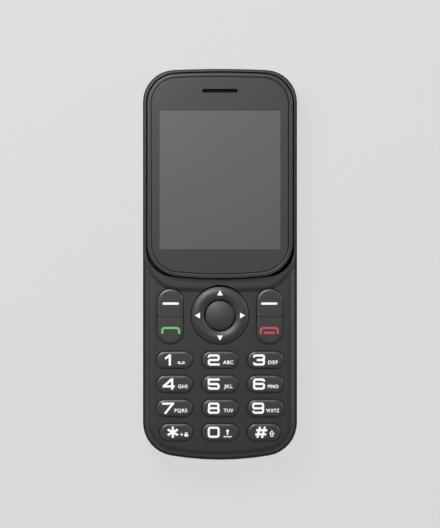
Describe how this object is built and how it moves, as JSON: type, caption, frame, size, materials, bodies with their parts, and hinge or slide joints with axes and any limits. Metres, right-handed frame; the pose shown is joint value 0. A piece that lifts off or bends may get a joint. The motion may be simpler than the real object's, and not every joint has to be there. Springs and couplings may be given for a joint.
{
  "type": "feature phone",
  "caption": "Bar-shaped mobile phone with a screen, a rocking navigation ring, a sprung keypad, and a lift-off back over a removable battery.",
  "frame": {"origin": "middle of the flat back, the face the phone lies on", "axes": "+X to the right seen from the front, +Y along the phone to the earpiece end, +Z out of the screen"},
  "size_m": [0.054, 0.137, 0.0135],
  "materials": {
    "shell_plastic": "fine satin moulding, near black",
    "window_gloss": "clear window printed dark behind its border",
    "key_plastic": "satin key caps with printed legends",
    "screen": "dark unlit screen",
    "white_plastic": "moulded",
    "black_plastic": "moulded",
    "black_foam": "closed-cell foam",
    "silicone": "matt silicone",
    "film": "thin polyester film",
    "flex": "polyimide film",
    "board": "solder mask",
    "steel": "stamped",
    "metal_trim": "dark turned ring",
    "clear": "clear",
    "lamp": "lamp body",
    "battery_can": "wrapped cell",
    "contacts": "plated spring"
  },
  "bodies": {
    "body": {"front_housing": "shell_plastic", "rear_housing": "shell_plastic", "display_window": "window_gloss", "screen_glass": "screen", "backlight_frame": "white_plastic", "headphone_jack": "black_plastic", "camera_module": "black_plastic", "loudspeaker": "black_plastic", "screen_connector": "black_plastic", "window_tape": "black_foam", "screen_gasket": "black_foam", "receiver_gasket": "black_foam", "keypad_membrane": "silicone", "motor_boot": "silicone", "microphone_boot": "silicone", "dome_film": "film", "screen_flex": "flex", "antenna": "flex", "main_board": "board", "snap_domes": "steel", "radio_shield": "steel", "processor_shield": "steel", "sim_sockets": "steel", "card_socket": "steel", "charging_socket": "steel", "earpiece_receiver": "steel", "motor_case": "steel", "microphone": "steel", "housing_screws": "steel", "earpiece_mesh": "steel", "speaker_mesh": "steel", "camera_ring": "metal_trim", "torch_lens": "clear", "camera_window": "clear", "torch_led": "lamp", "battery_contacts": "contacts"},
    "key_1": {"key_1": "key_plastic"},
    "key_2": {"key_2": "key_plastic"},
    "key_3": {"key_3": "key_plastic"},
    "key_4": {"key_4": "key_plastic"},
    "key_5": {"key_5": "key_plastic"},
    "key_6": {"key_6": "key_plastic"},
    "key_7": {"key_7": "key_plastic"},
    "key_8": {"key_8": "key_plastic"},
    "key_9": {"key_9": "key_plastic"},
    "key_star": {"key_star": "key_plastic"},
    "key_0": {"key_0": "key_plastic"},
    "key_hash": {"key_hash": "key_plastic"},
    "left_soft_key": {"left_soft_key": "key_plastic"},
    "right_soft_key": {"right_soft_key": "key_plastic"},
    "call_key": {"call_key": "key_plastic"},
    "end_key": {"end_key": "key_plastic"},
    "select_key": {"select_key": "key_plastic"},
    "navigation_pad": {"navigation_pad": "silicone"},
    "navigation_ring": {"navigation_ring": "key_plastic"},
    "back_cover": {"back_cover": "shell_plastic"},
    "battery": {"battery": "battery_can"},
    "motor_weight": {"motor_weight": "steel"}
  },
  "joints": [
    {"name": "key_1_press", "type": "slide", "parent": "body", "child": "key_1", "axis": [0, 0, -1], "range_m": [0, 0.00035], "stiffness_N_per_m": 1500, "deforming": ["keypad_membrane"]},
    {"name": "key_2_press", "type": "slide", "parent": "body", "child": "key_2", "axis": [0, 0, -1], "range_m": [0, 0.00035], "stiffness_N_per_m": 1500, "deforming": ["keypad_membrane"]},
    {"name": "key_3_press", "type": "slide", "parent": "body", "child": "key_3", "axis": [0, 0, -1], "range_m": [0, 0.00035], "stiffness_N_per_m": 1500, "deforming": ["keypad_membrane"]},
    {"name": "key_4_press", "type": "slide", "parent": "body", "child": "key_4", "axis": [0, 0, -1], "range_m": [0, 0.00035], "stiffness_N_per_m": 1500, "deforming": ["keypad_membrane"]},
    {"name": "key_5_press", "type": "slide", "parent": "body", "child": "key_5", "axis": [0, 0, -1], "range_m": [0, 0.00035], "stiffness_N_per_m": 1500, "deforming": ["keypad_membrane"]},
    {"name": "key_6_press", "type": "slide", "parent": "body", "child": "key_6", "axis": [0, 0, -1], "range_m": [0, 0.00035], "stiffness_N_per_m": 1500, "deforming": ["keypad_membrane"]},
    {"name": "key_7_press", "type": "slide", "parent": "body", "child": "key_7", "axis": [0, 0, -1], "range_m": [0, 0.00035], "stiffness_N_per_m": 1500, "deforming": ["keypad_membrane"]},
    {"name": "key_8_press", "type": "slide", "parent": "body", "child": "key_8", "axis": [0, 0, -1], "range_m": [0, 0.00035], "stiffness_N_per_m": 1500, "deforming": ["keypad_membrane"]},
    {"name": "key_9_press", "type": "slide", "parent": "body", "child": "key_9", "axis": [0, 0, -1], "range_m": [0, 0.00035], "stiffness_N_per_m": 1500, "deforming": ["keypad_membrane"]},
    {"name": "key_star_press", "type": "slide", "parent": "body", "child": "key_star", "axis": [0, 0, -1], "range_m": [0, 0.00035], "stiffness_N_per_m": 1500, "deforming": ["keypad_membrane"]},
    {"name": "key_0_press", "type": "slide", "parent": "body", "child": "key_0", "axis": [0, 0, -1], "range_m": [0, 0.00035], "stiffness_N_per_m": 1500, "deforming": ["keypad_membrane"]},
    {"name": "key_hash_press", "type": "slide", "parent": "body", "child": "key_hash", "axis": [0, 0, -1], "range_m": [0, 0.00035], "stiffness_N_per_m": 1500, "deforming": ["keypad_membrane"]},
    {"name": "left_soft_key_press", "type": "slide", "parent": "body", "child": "left_soft_key", "axis": [0, 0, -1], "range_m": [0, 0.00035], "stiffness_N_per_m": 1500, "deforming": ["keypad_membrane"]},
    {"name": "right_soft_key_press", "type": "slide", "parent": "body", "child": "right_soft_key", "axis": [0, 0, -1], "range_m": [0, 0.00035], "stiffness_N_per_m": 1500, "deforming": ["keypad_membrane"]},
    {"name": "call_key_press", "type": "slide", "parent": "body", "child": "call_key", "axis": [0, 0, -1], "range_m": [0, 0.00035], "stiffness_N_per_m": 1500, "deforming": ["keypad_membrane"]},
    {"name": "end_key_press", "type": "slide", "parent": "body", "child": "end_key", "axis": [0, 0, -1], "range_m": [0, 0.00035], "stiffness_N_per_m": 1500, "deforming": ["keypad_membrane"]},
    {"name": "select_key_press", "type": "slide", "parent": "body", "child": "select_key", "axis": [0, 0, -1], "range_m": [0, 0.00035], "stiffness_N_per_m": 1500, "deforming": ["keypad_membrane"]},
    {"name": "ring_rock_up_down", "type": "hinge", "parent": "body", "child": "navigation_pad", "pos_m": [0, -0.0179, 0.0105], "axis": [1, 0, 0], "range_deg": [-1.8, 1.8], "stiffness_Nm_per_rad": 0.25, "deforming": ["keypad_membrane", "navigation_pad"]},
    {"name": "ring_rock_left_right", "type": "hinge", "parent": "navigation_pad", "child": "navigation_ring", "pos_m": [0, -0.0179, 0.0105], "axis": [0, 1, 0], "range_deg": [-1.8, 1.8], "stiffness_Nm_per_rad": 0.25, "deforming": ["navigation_pad"]},
    {"name": "cover_lift", "type": "slide", "parent": "body", "child": "back_cover", "axis": [0, 0, -1], "range_m": [0, 0.03]},
    {"name": "battery_lift", "type": "slide", "parent": "body", "child": "battery", "axis": [0, 0, -1], "range_m": [0, 0.015]},
    {"name": "motor_spin", "type": "hinge", "parent": "body", "child": "motor_weight", "pos_m": [-0.007, -0.0501, 0.00487], "axis": [1, 0, 0], "continuous": true}
  ],
  "couplings": [
    {"joint": "battery_lift", "follows": "cover_lift", "ratio": 0.5}
  ]
}
